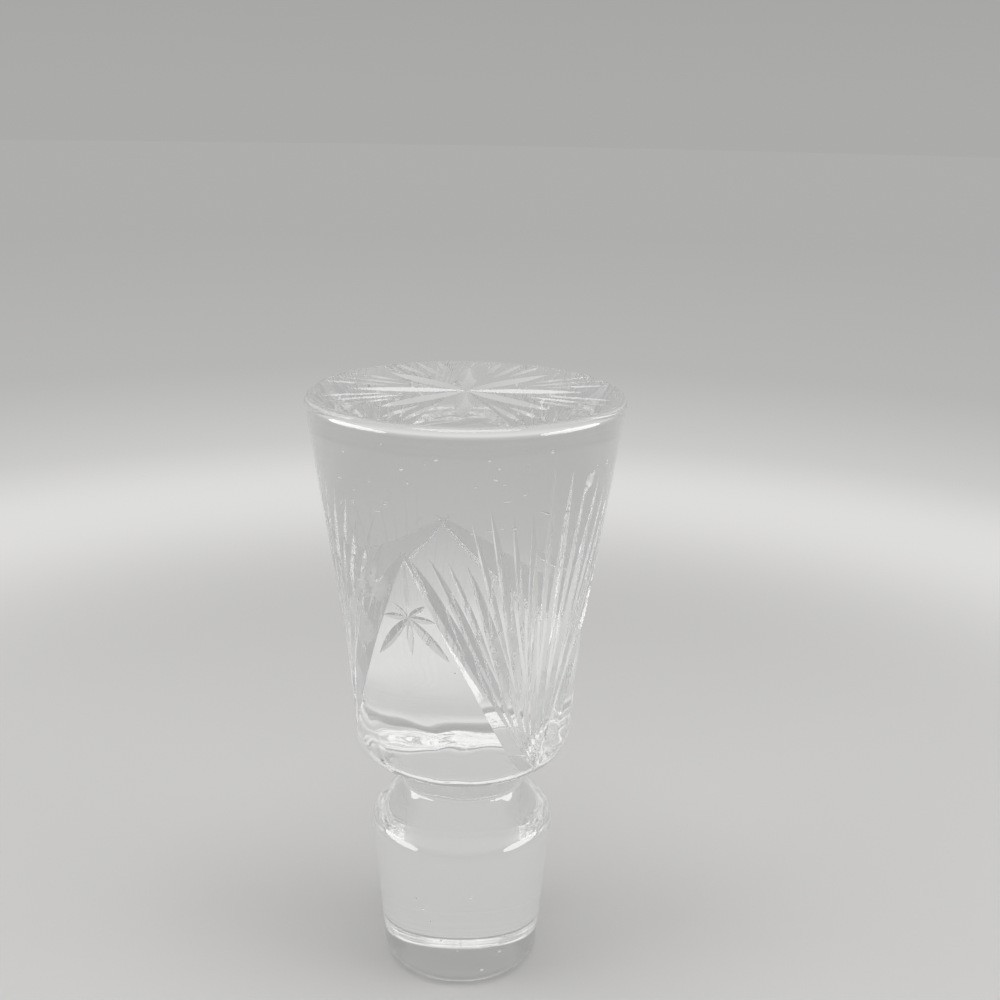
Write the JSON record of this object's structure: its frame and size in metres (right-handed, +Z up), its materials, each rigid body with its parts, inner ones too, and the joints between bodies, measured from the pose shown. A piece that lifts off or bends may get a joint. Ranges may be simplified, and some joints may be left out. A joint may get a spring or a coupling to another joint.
{
  "type": "glass decanter stopper",
  "caption": "Solid cut-glass decanter stopper with a flared, star-cut head, a short neck and a tapered plug.",
  "frame": {"origin": "centre of the plug's flat foot, which the stopper stands on", "axes": "+Z up along the stopper's axis, from the plug's foot to the flat top; -Y faces the front, between two of the fans of cuts"},
  "size_m": [0.0478, 0.0478, 0.095],
  "materials": {
    "glass": "polished clear crystal with sharp mitre cuts"
  },
  "bodies": {
    "root": {"stopper": "glass"}
  },
  "joints": []
}
